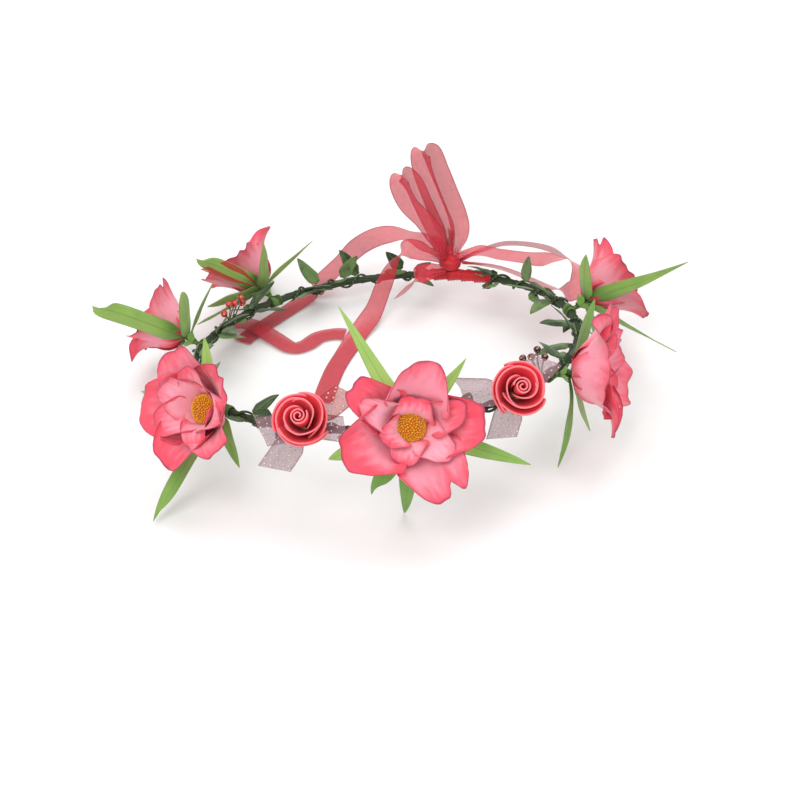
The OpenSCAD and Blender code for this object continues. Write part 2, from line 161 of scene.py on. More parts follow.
class Piece:
    """A mesh gathered from grids. A grid's map gives each point two values from 0 to 1 or in millimetres."""

    def __init__(self, name):
        self.name, self.points, self.faces, self.maps, self.tones, self.count = name, [], [], [], [], 0

    def add(self, points, across, along, tone=0.5, wrap=False, flip=False):
        """Adds a grid of points in millimetres with its map and its tone, which is one number for the
        grid."""
        rows, columns = points.shape[:2]
        faces = grid_faces(rows, columns, wrap) + self.count
        self.faces.append(faces[:, ::-1] if flip else faces)
        self.points.append(points.reshape(-1, 3))
        pair = np.stack(np.broadcast_arrays(across, along), -1)
        self.maps.append(np.broadcast_to(pair, (rows, columns, 2)).reshape(-1, 2))
        self.tones.append(np.full(rows * columns, float(tone)))
        self.count += rows * columns
        return self

    def make(self, paint, body, nodes=(), slot=None, thick=0.0, smooth=0):
        """Makes the object: its skin gets a thickness in millimetres and is smoothed, and it rides on its
        body."""
        mesh = bpy.data.meshes.new(self.name)
        faces = np.concatenate(self.faces)
        points = np.concatenate(self.points)
        points[:, 2] = np.maximum(points[:, 2], FLOOR_GAP)
        mesh.from_pydata((points * MM).tolist(), [], faces.tolist())
        layer = mesh.uv_layers.new(name="map")
        layer.data.foreach_set("uv", np.concatenate(self.maps)[faces.ravel()].ravel().astype(np.float32))
        tone = mesh.attributes.new("tone", "FLOAT", "POINT")
        tone.data.foreach_set("value", np.concatenate(self.tones).astype(np.float32))
        mesh.polygons.foreach_set("use_smooth", np.ones(len(faces), bool))
        mesh.update()
        mesh.materials.append(paint)
        made = bpy.data.objects.new(self.name, mesh)
        bpy.context.scene.collection.objects.link(made)
        if smooth:
            rounding = made.modifiers.new("smooth", "SUBSURF")
            rounding.levels = rounding.render_levels = smooth
        if thick:
            skin = made.modifiers.new("thickness", "SOLIDIFY")
            skin.thickness = thick * MM
            skin.offset = 0
        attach(made, body)
        if nodes:
            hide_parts(*([nodes] if isinstance(nodes, str) else nodes))
        return made


def swell(value, low, high):
    """Smooth step of value from 0 at low to 1 at high."""
    share = np.clip((value - low) / (high - low), 0, 1)
    return share * share * (3 - 2 * share)


def bent_line(long, pitch, count=80):
    """Middle line in the XZ plane: x and z are the sums of the cosine and sine of a pitch that varies with
    run, each in degrees."""
    run = np.linspace(0, long, count)
    angle = np.radians(pitch(run / long))
    step = np.diff(run, prepend=0)
    return run, np.cumsum(np.cos(angle) * step), np.cumsum(np.sin(angle) * step), angle


def waves(u, v, seed, count=4):
    """Soft unevenness from -1 to 1: a sum of slow sines of u and v in seeded directions."""
    rng = np.random.default_rng(seed)
    turns = rng.uniform(-1, 1, (count, 2)) * [5, 6]
    starts = rng.uniform(0, 6.28, count)
    return sum(np.sin(a * u + b * v + s) for (a, b), s in zip(turns, starts)) / count


def tube(path, radius, around=12, closed=False):
    """Round tube along a path: at each point a ring of that radius, in the plane across the path, kept from
    twisting."""
    path = np.asarray(path, float)
    if closed:
        ahead = np.roll(path, -1, 0) - np.roll(path, 1, 0)
    else:
        ahead = np.gradient(path, axis=0)
    ahead /= np.linalg.norm(ahead, axis=1)[:, None]
    side = np.cross(ahead, np.where(np.abs(ahead[:, 2:]) > 0.9, [[1.0, 0, 0]], [[0, 0, 1.0]]))
    side /= np.linalg.norm(side, axis=1)[:, None]
    other = np.cross(ahead, side)
    q = np.linspace(0, 2 * np.pi, around, endpoint=False)
    radius = np.broadcast_to(np.asarray(radius, float), (len(path),))[:, None, None]
    ring = side[:, None] * np.cos(q)[None, :, None] + other[:, None] * np.sin(q)[None, :, None]
    return path[:, None] + ring * radius


# ---- Paints ----


def colour(red, green, blue):
    """Linear colour of a swatch given in 0 to 255 steps."""
    steps = np.array([red, green, blue]) / 255
    return (*np.where(steps <= 0.04045, steps / 12.92, ((steps + 0.055) / 1.055) ** 2.4).tolist(), 1.0)


class Link:
    """A socket that takes + - * and **, with a number or another socket, as Math nodes."""

    def __init__(self, paint, socket):
        self.paint, self.socket = paint, socket

    def math(self, operation, first, second):
        return self.paint.node("ShaderNodeMath", {"operation": operation}, {0: first, 1: second})

    def __add__(self, other):
        return self.math("ADD", self, other)

    def __sub__(self, other):
        return self.math("SUBTRACT", self, other)

    def __rsub__(self, other):
        return self.math("SUBTRACT", other, self)

    def __mul__(self, other):
        return self.math("MULTIPLY", self, other)

    def __truediv__(self, other):
        return self.math("DIVIDE", self, other)

    def __pow__(self, other):
        return self.math("POWER", self, other)

    def above(self, other):
        return self.math("GREATER_THAN", self, other)

    __radd__, __rmul__ = __add__, __mul__


class Paint:
    """A material: a Principled shader whose sockets take constants, and nodes that are wired by name."""

    def __init__(self, name, **constants):
        self.material = bpy.data.materials.new(name)
        self.material.use_nodes = True
        self.tree = self.material.node_tree
        self.shader = self.tree.nodes["Principled BSDF"]
        for key, value in constants.items():
            self.shader.inputs[key.replace("_", " ").title().replace("Ior", "IOR")].default_value = value

    def node(self, kind, settings=None, inputs=None, output=0):
        made = self.tree.nodes.new(kind)
        for key, value in (settings or {}).items():
            if key == "stops":
                ramp = made.color_ramp.elements
                while len(ramp) < len(value):
                    ramp.new(0.5)
                for stop, (at, shade) in zip(ramp, value):
                    stop.position, stop.color = at, shade
            else:
                setattr(made, key, value)
        for key, value in (inputs or {}).items():
            if isinstance(value, Link):
                self.tree.links.new(value.socket, made.inputs[key])
            else:
                made.inputs[key].default_value = value
        return Link(self, made.outputs[output])

    def set(self, **links):
        for key, link in links.items():
            self.tree.links.new(link.socket, self.shader.inputs[key.replace("_", " ")])
        return self

    def place(self):
        return self.node("ShaderNodeTexCoord", output="Object")

    def map(self):
        return self.node("ShaderNodeUVMap", {"uv_map": "map"})

    def map_axes(self):
        both = self.node("ShaderNodeSeparateXYZ", {}, {0: self.map()})
        return both, Link(self, both.socket.node.outputs[1])

    def tone(self):
        return self.node("ShaderNodeAttribute", {"attribute_name": "tone"}, output="Fac")

    def noise(self, scale, detail=2.0, at=None, stretch=(1, 1, 1), rough=0.5):
        at = at or self.place()
        spread = self.node("ShaderNodeMapping", {}, {"Vector": at, "Scale": stretch})
        return self.node("ShaderNodeTexNoise", {},
                         {"Vector": spread, "Scale": scale, "Detail": detail, "Roughness": rough})

    def cells(self, scale, at=None):
        return self.node("ShaderNodeTexVoronoi", {}, {"Vector": at or self.place(), "Scale": scale},
                         "Distance")

    def sine(self, value, cycles, phase=0.0):
        """Sine wave of a value, from 0 to 1."""
        turn = value * (cycles * 2 * np.pi) + phase
        return self.node("ShaderNodeMath", {"operation": "SINE"}, {0: turn}) * 0.5 + 0.5

    def ramp(self, value, *stops):
        return self.node("ShaderNodeValToRGB", {"stops": stops}, {0: value})

    def smooth(self, value, low, high):
        return self.node("ShaderNodeMapRange", {"interpolation_type": "SMOOTHSTEP"},
                         {"Value": value, "From Min": low, "From Max": high})

    def blend(self, share, first, second):
        made = self.node("ShaderNodeMix", {"data_type": "RGBA"}, {0: share, 6: first, 7: second}, 2)
        return made

    def bump(self, height, strength, depth_mm):
        return self.node("ShaderNodeBump", {},
                         {"Height": height, "Strength": strength, "Distance": depth_mm * MM})


def petal_paint(name, root, body, pale, rim):
    """Petal cloth: a deep red at the root that is partly the cloth's print and partly painted shade where the
    petals meet, a pale painted highlight over the middle of the blade, coral towards its edges, and a thin
    mauve rim. Streaks run along it, and the cloth has a fine weave."""
    p = Paint(name, roughness=0.66, sheen_weight=0.3, sheen_roughness=0.4, specular_ior_level=0.25)
    across, along = p.map_axes()
    streaks = p.noise(7, 3, p.map(), (2.0, 0.6, 1))
    cloud = p.noise(75, 2)
    edge = p.node("ShaderNodeMath", {"operation": "ABSOLUTE"}, {0: across * 2 - 1})
    outer = p.node("ShaderNodeMath", {"operation": "MAXIMUM"}, {0: along, 1: edge * 0.96})
    # Painted highlight: this mask lays the pale colour over the middle of the blade.
    middle = 1 - p.smooth(outer + streaks * 0.42 + cloud * 0.25 - p.tone() * 0.25, 0.70, 1.22)
    blade = p.blend(middle * 0.92, body, pale)
    # The deep red towards the root is partly the cloth's print and partly painted shade where the petals
    # meet.
    blade = p.blend(1 - p.smooth(along + streaks * 0.22, 0.16, 0.50), blade, root)
    blade = p.blend(p.smooth(outer + cloud * 0.05, 0.965, 1.03) * 0.75, blade, rim)
    weave = p.sine(across, 90) * p.sine(along, 120)
    fibre = p.noise(14, 4, p.map(), (8, 1, 1))
    height = weave * 0.12 + fibre * 0.5 + cloud * 0.5
    return p.set(Base_Color=blade, Normal=p.bump(height, 0.45, 0.5)).material


def satin_paint():
    """Satin leaf: yellow-green with a darker root and midrib, fine slanting threads and a soft shine."""
    p = Paint("satin_leaf", specular_ior_level=0.55, sheen_weight=0.15)
    across, along = p.map_axes()
    middle = p.node("ShaderNodeMath", {"operation": "ABSOLUTE"}, {0: across * 2 - 1})
    cloud = p.noise(55, 2)
    streaks = p.noise(6, 3, p.map(), (7, 0.8, 1))
    green = p.blend(p.smooth(cloud * 0.6 + streaks * 0.4 + p.tone() * 0.4 - 0.2, 0.3, 0.7),
                    colour(106, 156, 52), colour(150, 188, 86))
    green = p.blend(1 - p.smooth(along, 0.02, 0.35), green, colour(92, 132, 46))
    green = p.blend((1 - p.smooth(middle, 0.0, 0.10)) * 0.45, green, colour(88, 130, 44))
    green = p.blend(p.smooth(middle, 0.93, 1.0) * 0.4, green, colour(120, 140, 80))
    threads = p.sine(across * 0.5 + along * 3, 60)
    rib = p.smooth(middle, 0.0, 0.12)
    height = threads * 0.10 + rib * 0.8 + streaks * 0.5
    return p.set(Base_Color=green, Roughness=streaks * 0.25 + 0.34, Normal=p.bump(height, 0.45, 0.4)).material


def vine_paint():
    """Matt dark green leaf cloth with a paler midrib, side veins and brown-green tips."""
    p = Paint("vine_leaf", roughness=0.75, sheen_weight=0.3, specular_ior_level=0.25)
    across, along = p.map_axes()
    middle = p.node("ShaderNodeMath", {"operation": "ABSOLUTE"}, {0: across * 2 - 1})
    cloud = p.noise(140, 3)
    green = p.blend(p.smooth(cloud + p.tone() * 0.5 - 0.25, 0.35, 0.68), colour(46, 74, 38),
                    colour(104, 134, 76))
    veins = p.sine(along * 1.0 - middle * 0.35, 6)
    line = p.smooth(veins, 0.90, 1.0) * 0.5 + (1 - p.smooth(middle, 0.02, 0.13))
    green = p.blend(line * 0.45, green, colour(120, 140, 90))
    green = p.blend(p.smooth(along, 0.8, 1.0) * 0.5, green, colour(66, 60, 32))
    height = line * 0.7 + cloud * 0.5
    return p.set(Base_Color=green, Normal=p.bump(height, 0.6, 0.4)).material


def organza_paint(name, thread, shade, cover, edge_cover):
    """Sheer woven cloth: fine threads both ways let light between them, and a dense woven edge is dark and
    nearly closed. Along the folds the tint is darkened towards the hem colour as painted shade."""
    p = Paint(name, roughness=0.5, sheen_weight=0.25, specular_ior_level=0.4)
    across, along = p.map_axes()
    middle = p.node("ShaderNodeMath", {"operation": "ABSOLUTE"}, {0: across * 2 - 1})
    hem = p.smooth(middle, 0.86, 0.97)
    folds = p.noise(5, 2, p.map(), (5, 0.05, 1))
    weave = p.sine(across, 70) * 0.5 + p.sine(along, 7) * 0.5
    # The dark hem colour is the cloth's own denser weave; the same colour is then laid along the folds as
    # painted shade.
    tint = p.blend(hem * 0.75, thread, shade)
    tint = p.blend(p.smooth(folds, 0.45, 0.7) * 0.35, tint, shade)
    alpha = weave * 0.14 + folds * 0.16 + (cover - 0.15)
    alpha = alpha * (1 - hem) + hem * edge_cover
    return p.set(Base_Color=tint, Alpha=alpha, Normal=p.bump(weave * 0.3 + hem, 0.3, 0.2)).material


def foam_paint():
    """Rolled foam sheet: coral red with painted shade that deepens it low in the folds, a painted highlight
    along the cut rim, and fine cells.
    """
    p = Paint("rose_foam", roughness=0.7, specular_ior_level=0.3, subsurface_weight=0.15,
              subsurface_scale=0.002,
              sheen_weight=0.1)
    _, along = p.map_axes()
    cloud = p.noise(160, 2)
    # Painted shade: the red deepens towards the bottom of each strip, down in the folds.
    red = p.blend(p.smooth(along + cloud * 0.1, 0.15, 0.95), colour(186, 14, 32), colour(238, 62, 78))
    # Painted highlight: a pale band along the cut rim of each strip.
    red = p.blend(p.smooth(along + cloud * 0.04, 0.93, 1.0) * 0.85, red, colour(255, 138, 146))
    cells = p.cells(2600)
    return p.set(Base_Color=red, Normal=p.bump(cells * 0.6 + cloud * 0.4, 0.35, 0.15)).material


def grain_paint():
    """Flocked centre: amber grains, golden at their tips and brown-orange between them."""
    p = Paint("flower_centre", roughness=0.8, sheen_weight=0.3, specular_ior_level=0.2)
    _, along = p.map_axes()
    grain = p.noise(900, 3)
    gold = p.blend(p.smooth(along * 0.7 + grain * 0.5, 0.35, 0.95), colour(196, 112, 8), colour(246, 186, 34))
    gold = p.blend(p.tone() * 0.6, gold, colour(232, 146, 14))
    return p.set(Base_Color=gold, Normal=p.bump(grain, 0.6, 0.3)).material


def tape_paint(name, dark, light, turns_per_mm):
    """Crepe tape wound on wire: slanting laps, fine crepe ridges and a waxy, uneven dark green."""
    p = Paint(name, specular_ior_level=0.4)
    across, along = p.map_axes()
    laps = p.sine(along * 1.0 + across / turns_per_mm * 1.0, turns_per_mm)
    crepe = p.noise(700, 2, stretch=(1, 1, 1))
    tint = p.blend(p.smooth(crepe * 0.6 + laps * 0.4, 0.3, 0.75), dark, light)
    return p.set(Base_Color=tint, Roughness=crepe * 0.3 + 0.45,
                 Normal=p.bump(laps * 0.8 + crepe * 0.5, 0.7, 0.3)).material


def berry_paint(name, deep, bright):
    """Lacquered berry with scattered gold specks."""
    p = Paint(name, coat_weight=0.7, coat_roughness=0.08)
    specks = p.cells(620)
    gold = 1 - p.smooth(specks, 0.16, 0.26)
    skin = p.blend(p.smooth(p.noise(300, 2), 0.4, 0.7), deep, bright)
    return p.set(Base_Color=p.blend(gold, skin, colour(226, 178, 92)), Roughness=0.25 + gold * 0.2,
                 Metallic=gold * 0.8, Normal=p.bump(gold, 0.5, 0.1)).material


def gold_paint():
    """Raised glitter dot: pale gold with a fine sparkle."""
    p = Paint("gold_dot", metallic=0.55)
    sparkle = p.noise(2500, 2)
    return p.set(Base_Color=p.blend(p.smooth(sparkle, 0.4, 0.6), colour(236, 196, 160),
                                    colour(255, 240, 222)),
                 Roughness=sparkle * 0.4 + 0.15, Normal=p.bump(sparkle, 0.5, 0.1)).material


# Colours: red root (partly print, partly painted shade), coral blade, pale painted highlight, mauve rim.
petal_outer = petal_paint("petal_outer", colour(214, 30, 50), colour(238, 82, 102), colour(244, 158, 176),
                          colour(150, 58, 88))
petal_inner = petal_paint("petal_inner", colour(208, 24, 42), colour(240, 92, 112), colour(248, 178, 194),
                          colour(160, 74, 100))
satin = satin_paint()
vine = vine_paint()
# Second colour of each: the dark hem of the cloth, also used as painted shade in the folds.
ribbon = organza_paint("ribbon_organza", colour(206, 34, 58), colour(140, 18, 44), 0.80, 0.95)
knot_cloth = organza_paint("ribbon_gathered", colour(200, 14, 32), colour(140, 6, 22), 0.95, 0.98)
throat_cloth = organza_paint("ribbon_throat", colour(204, 26, 46), colour(140, 12, 34), 0.74, 0.95)
strip_cloth = organza_paint("strip_organza", colour(200, 62, 28), colour(160, 36, 22), 0.84, 0.9)
net_cloth = organza_paint("dotted_organza", colour(150, 118, 132), colour(126, 96, 112), 0.66, 0.85)
red_net = organza_paint("red_net", colour(176, 44, 56), colour(140, 30, 46), 0.7, 0.85)
foam = foam_paint()
grains = grain_paint()
hoop_tape = tape_paint("stem_tape", colour(22, 34, 18), colour(58, 78, 44), 0.18)
stem_tape = tape_paint("stem_wrap", colour(46, 70, 28), colour(92, 124, 54), 0.4)
twine_paint = tape_paint("vine_twine", colour(34, 52, 28), colour(78, 100, 58), 0.8)
bright_berry = berry_paint("berry_bright", colour(150, 10, 16), colour(214, 34, 30))
dark_berry = berry_paint("berry_dark", colour(52, 4, 10), colour(110, 12, 20))
gold = gold_paint()

# ---- Flowers ----


def petal(piece, frame_at, z, row, seed):
    """One cupped petal. Its middle line sets out at a root pitch, steepens to a middle pitch and ends at a
    tip pitch. The rim is rounded because threads beside the middle are shorter by a power of their share
    across. The width opens as a quarter sine, the blade is rolled across, and slow waves ruffle the rim."""
    direction, reach, width, root, middle, tip, rolled, notch = row
    rng = np.random.default_rng(seed)
    v = np.linspace(0, 1, 26)[:, None]
    u = np.linspace(-1, 1, 25)[None, :]
    run, line_x, line_z, angle = bent_line(
        reach, lambda s: root + (middle - root) * swell(s, 0.0, 0.4) + (tip - middle) * swell(s, 0.5, 1.0))
    scallop = 0.03 * np.sin(rng.uniform(4, 7) * u + rng.uniform(0, 6))
    scallop = scallop + 0.008 * np.sin(15 * u + rng.uniform(0, 6))
    short = 0.45 * np.abs(u) ** 2.6 + scallop + notch * np.exp(-((u - 0.15) / 0.14) ** 2)
    thread = reach * v * (1 - short * v)
    half = width / 2 * (0.22 + 0.78 * np.sin(np.pi / 2 * np.clip(v * 1.4, 0, 1))) * (1 - 0.10 * v ** 6)
    roll = np.maximum(np.radians(rolled) * swell(v, 0, 0.5), 0.05)
    across = half * np.sin(roll * u) / roll
    lift = half * (1 - np.cos(roll * u)) / roll
    ruffle = 0.06 * waves(u * 1.3, v * 0.6, seed) + 0.03 * waves(u * 3.4, v, seed + 9)
    lift = lift + swell(v, 0.3, 1) * width * ruffle - 0.35 * np.exp(-(u / 0.07) ** 2) * (1 - v)
    theta = np.interp(thread, run, angle)
    points = xyz(np.interp(thread, run, line_x) - np.sin(theta) * lift, across,
                 np.interp(thread, run, line_z) + np.cos(theta) * lift)
    piece.add(put(frame_at @ moved(z=z) @ turned(z=direction) @ moved(x=1.5), points), (u + 1) / 2, v,
              rng.uniform(0, 1))


def leaf(piece, place, long, pitch, bend, wide, seed, twist=0.0, point=0.75, steps=30, slant=0.0):
    """A pointed leaf: pitched and bent along its middle line, folded in a shallow V, with waving edges and
    a slow twist. The half width rises fast from the root and falls to the tip as one minus a power of
    the share of length, and a slant cuts one side short."""
    rng = np.random.default_rng(seed)
    v = np.linspace(0, 1, steps)[:, None]
    u = np.linspace(-1, 1, 9)[None, :]
    run, line_x, line_z, angle = bent_line(long, lambda s: pitch + bend * s)
    thread = v * long * (1 - slant * (1 + u) / 2 * v ** 3)
    half = wide / 2 * (0.4 + 0.6 * swell(v, 0, 0.22)) * (1 - v ** (0.9 / point ** 2)) ** 0.9 + 0.06
    fold = 0.22 * (1 - 0.6 * v) * np.abs(u) + 0.10 * waves(u * 0.5, v * 2.2, seed)
    fold = fold + 0.05 * np.sin(9 * v + rng.uniform(0, 6)) * u
    turn = np.radians(twist) * v ** 1.5
    side, rise = u * half, fold * half
    side, rise = side * np.cos(turn) - rise * np.sin(turn), side * np.sin(turn) + rise * np.cos(turn)
    sway = wide * 0.12 * np.sin(3.2 * v + rng.uniform(0, 6)) * v
    theta = np.interp(thread, run, angle)
    points = xyz(np.interp(thread, run, line_x) - np.sin(theta) * rise, side + sway,
                 np.interp(thread, run, line_z) + np.cos(theta) * rise)
    piece.add(put(place, points), (u + 1) / 2, v, rng.uniform(0, 1))


def disc(piece, florets, frame_at, z, seed):
    """Flower centre: a low dome, and grains on it in a sunflower spiral, each a small bead that leans
    outwards."""
    r = DISC_D / 2
    v = np.linspace(0, 1, 14)[:, None]
    q = np.linspace(0, 2 * np.pi, 32, endpoint=False)[None, :]
    out = r * np.sin(v * 1.9) / np.sin(1.57) * (1 - 0.12 * v)
    high = 3.6 * np.cos(v * 1.9) - 1.2
    dome = xyz(out * np.cos(q), out * np.sin(q), high + 0 * q)
    piece.add(put(frame_at @ moved(z=z), dome), q / TURN, v, 0.3, wrap=True)
    rng = np.random.default_rng(seed)
    count = 230
    k = np.arange(count) + 0.5
    share, turn = np.sqrt(k / count), k * GOLDEN_TURN
    v = share * 0.84
    at = xyz(r * np.sin(v * 1.9) * (1 - 0.12 * v) * np.cos(turn),
             r * np.sin(v * 1.9) * (1 - 0.12 * v) * np.sin(turn),
                   3.6 * np.cos(v * 1.9) - 1.2)
    lean = xyz(np.cos(turn) * share * 0.8, np.sin(turn) * share * 0.8, 1.1 - 0.5 * share)
    lean /= np.linalg.norm(lean, axis=1)[:, None]
    side = np.cross(lean, [0.3, 0.5, 0.81])
    side /= np.linalg.norm(side, axis=1)[:, None]
    other = np.cross(lean, side)
    size = rng.uniform(0.75, 1.25, count)[:, None, None]
    rows = np.array([[0.05, -0.1], [0.34, 0.1], [0.42, 0.75], [0.26, 1.05], [0.02, 1.12]])
    w = np.linspace(0, 2 * np.pi, 6, endpoint=False)
    for i in range(count):
        ring = side[i] * np.cos(w)[:, None] + other[i] * np.sin(w)[:, None]
        bead = at[i] + (rows[:, :1, None] * ring + rows[:, 1:, None] * lean[i]) * size[i]
        florets.add(put(frame_at @ moved(z=z), bead), w / TURN, (rows[:, 1:] + 0.1) / 1.2,
                    rng.uniform(0, 1), wrap=True)


# name, hoop angle, turn and lift of the face
FLOWERS = [("front", -84, -3, 20), ("front_left", 218, 14, 26), ("left", 165, -4, 27),
           ("back_left", 127, 19, 45),
           ("front_right", -36, 23, 3), ("right", 12, 12, 20)]

# direction round the stem (0 down), reach, width, pitch at root, middle and tip, roll across, notch
FRONT_PETALS = [
    [(228, 33, 27, 12, 36, -15, 60, 0), (160, 35, 37, 10, 46, 25, 70, 0), (88, 34, 33, 8, 36, 5, 50, 0),
     (24, 36, 35, 5, 30, -5, 45, 0.16), (286, 35, 38, 10, 38, 12, 60, 0)],
    [(237, 27, 19, 18, 44, 0, 70, 0), (166, 16, 23, 25, 62, -50, 50, 0), (104, 27, 20, 14, 42, 5, 60, 0),
     (48, 23, 21, 14, 42, 5, 60, 0), (338, 18, 21, 18, 52, -20, 60, 0), (282, 17, 18, 26, 64, -20, 60, 0)]]

# name: spin of the petals, reach, width, pitch at root, middle and tip
OTHER_PETALS = {"front_left": (-12, 34, 36, 18, 46, 5), "left": (30, 29, 30, 26, 58, 20),
                "back_left": (0, 31, 31, 24, 52, 18),
                "front_right": (-16, 36, 37, 14, 46, 8), "right": (15, 31, 31, 26, 58, 20)}

# direction round the stem, first pitch, bend, length, twist, fullness (low keeps its width to the tip),
# slant of the end
LEAVES = {
    "front": [(327, -14, -20, 36, 0, 0.42, 0.15), (350, -18, -40, 51, 10, 0.6, 0),
              (205, -10, 0, 58, 25, 0.75, 0),
              (288, -10, -10, 37, 0, 0.45, 0), (133, -8, 0, 35, 15, 0.75, 0),
              (63, -5, -10, 54, -10, 0.62, 0)],
    "front_left": [(346, 8, 12, 54, 20, 0.35, 0.12), (30, -12, -10, 25, 0, 0.7, 0),
                   (266, 15, 0, 35, 0, 0.55, 0),
                   (214, -6, -10, 34, 0, 0.6, 0)],
    "left": [(116, 30, 0, 66, 5, 0.2, 0.14), (148, 8, 0, 38, 0, 0.35, 0), (16, 10, -7, 25, 0, 0.7, 0),
             (250, 10, 0, 36, 0, 0.6, 0)],
    "back_left": [(117, 25, 0, 55, 0, 0.3, 0.1), (152, 15, 0, 42, 15, 0.75, 0), (240, 5, 0, 34, 0, 0.55, 0),
                  (306, 0, 30, 37, 0, 0.55, 0), (84, 12, 0, 34, 0, 0.45, 0), (56, 12, 0, 36, 0, 0.5, 0)],
    "front_right": [(20, 0, 10, 34, 0, 0.5, 0), (355, 0, -25, 43, 60, 0.8, 0), (114, 10, 0, 44, -40, 0.6, 0),
                    (59, 20, 0, 52, 40, 0.5, 0)],
    "right": [(251, 30, 0, 66, 40, 0.8, 0), (298, 18, 0, 51, 40, 0.75, 0), (210, 6, 0, 34, 30, 0.65, 0),
              (340, -6, -30, 36, 0, 0.6, 0)],
}


def petal_rows(name, index):
    """Rows of the outer and inner petals: the front flower has its own, and the others vary round an even
    ring."""
    if name == "front":
        return FRONT_PETALS
    spin, reach, width, root, middle, tip = OTHER_PETALS[name]
    rng = np.random.default_rng(40 + index)
    outer = [(spin + 72 * k + rng.uniform(-6, 6), reach * rng.uniform(0.94, 1.03),
              width * rng.uniform(0.92, 1.06), root,
              middle + rng.uniform(-6, 6), tip + rng.uniform(-25, 25), rng.uniform(45, 75), 0.13 * (k == 2))
             for k in range(5)]
    inner = [(spin + 36 + 72 * k + rng.uniform(-8, 8), reach * rng.uniform(0.66, 0.80),
              width * rng.uniform(0.62, 0.74),
              root + 8, middle + 14 + rng.uniform(-6, 6), tip + 10 + rng.uniform(-45, 30),
              rng.uniform(55, 85), 0)
             for k in range(5)]
    return outer, inner


def wrapped_stem(name, frame_at, angle, top):
    """Stem and sleeve: a stem whose thickness wavers a little along it, and a sleeve of tape laps round the
    hoop's tape."""
    piece = Piece(name + "_stem_wrap")
    steps = np.linspace(0.5, top, 24)
    path = xyz(0.25 * np.sin(steps * 0.5), 0.2 * np.sin(steps * 0.7 + 1), steps)
    rings = tube(put(frame_at, path), STEM_R * (1 + 0.08 * np.sin(steps * 3.1)))
    rings = np.concatenate([rings, rings[-1:].mean(1, keepdims=True) + 0 * rings[-1:]])
    piece.add(rings, np.linspace(0, 1, 12)[None, :], np.append(steps, top + 0.5)[:, None], 0.5, wrap=True)
    v = np.linspace(-SLEEVE_L / 2, SLEEVE_L / 2, 30)[:, None]
    q = np.linspace(0, 2 * np.pi, 28, endpoint=False)[None, :]
    lap = (v / 1.6 + q / TURN) % 1
    thick = SLEEVE_R - 0.35 + 0.35 * lap + 0.1 * np.sin(q * 3 + v)
    outer = xyz(thick * np.cos(q), v + 0 * q, thick * np.sin(q))
    inner = xyz((TAPE_R + 0.12) * np.cos(q), v + 0 * q, (TAPE_R + 0.12) * np.sin(q))
    shell = np.concatenate([inner[:1], outer, inner[::-1]])
    piece.add(put(on_hoop(angle), shell), q / TURN, np.linspace(0, SLEEVE_L, len(shell))[:, None], 0.5,
              wrap=True, flip=True)
    piece.make(stem_tape, name, name + "_stem", "stem")


def calyx(name, frame_at):
    """Green cup under the petals: a flared cone whose rim is cut in five sepals, taller at each sepal's
    middle."""
    piece = Piece(name + "_calyx_cup")
    v = np.linspace(0, 1, 12)[:, None]
    q = np.linspace(0, 2 * np.pi, 60, endpoint=False)[None, :]
    sepal = np.abs(np.cos(2.5 * q)) ** 0.6
    out = 1.45 + 2.6 * v ** 1.6 * (0.7 + 0.5 * sepal)
    high = COLLAR_Z - 4.4 + 3.7 * v * (0.55 + 0.45 * sepal)
    cup = xyz(out * np.cos(q), out * np.sin(q), high)
    piece.add(put(frame_at, cup), (2.5 * q / np.pi) % 1, v, 0.2, wrap=True)
    piece.make(satin, name, name + "_calyx", "calyx", thick=0.25)


def flower(index, name, angle, turn, lift):
    at = facing(angle, turn, lift)
    outer_rows, inner_rows = petal_rows(name, index)
    outer, inner = Piece(name + "_outer_petals"), Piece(name + "_inner_petals")
    for k, row in enumerate(outer_rows):
        petal(outer, at, COLLAR_Z + 1.0 + 0.35 * (k % 2), row, 100 * index + k)
    for k, row in enumerate(inner_rows):
        petal(inner, at, COLLAR_Z + 2.2 + 0.35 * (k % 2), row, 100 * index + 50 + k)
    outer.make(petal_outer, name, name + "_petals_outer", "petal_outer", thick=0.3)
    inner.make(petal_inner, name, name + "_petals_inner", "petal_inner", thick=0.3)
    dome, florets = Piece(name + "_disc"), Piece(name + "_grains")
    disc(dome, florets, at, COLLAR_Z + (5.4 if name == "front" else 7.6), index)
    dome.make(grains, name, name + "_centre", "flower_centre")
    florets.make(grains, name, slot="flower_centre")
    green = Piece(name + "_satin_leaves")
    for k, (direction, pitch, bend, long, twist, point, slant) in enumerate(LEAVES[name]):
        place = at @ turned(z=direction) @ moved(x=1.6, z=COLLAR_Z - LEAF_DROP * (k % 2))
        leaf(green, place, long + 1.6, pitch, bend, LEAF_W, 300 * index + k, twist, point, slant=slant)
    green.make(satin, name, name + "_leaves", "satin_leaf", thick=0.3)
    calyx(name, at)
    wrapped_stem(name, at, angle, COLLAR_Z + 4)


for index, (name, angle, turn, lift) in enumerate(FLOWERS):
    flower(index, name, angle, turn, lift)

# ---- Roses ----


def foam_arc(piece, frame_at, start, span, radius, low, high, flare, seed):
    """One strip of foam: it stands round the rose from start over span, bulges outwards by a sine of its
    height and flares at the rim. The ends of the rim dip, and the radius grows along it."""
    v = np.linspace(0, 1, 14)[:, None]
    t = np.linspace(0, 1, int(abs(span) / 6))[None, :]
    q = np.radians(start + span * t)
    dip = 1 - 0.42 * np.abs(2 * t - 1) ** 2.6 * (span < 400)
    grow = radius[0] + (radius[1] - radius[0]) * t
    out = grow * (0.42 + 0.58 * np.sin(np.pi / 2
                                       * np.clip(v * 1.25, 0, 1))) + flare * v ** 4 + 0.25 * waves(t * 4,
                                                                                                   v, seed)
    z = low + (high - low) * v * dip
    points = xyz(out * np.cos(q), out * np.sin(q), z + 0 * q)
    piece.add(put(frame_at, points), t, v, 0.5)


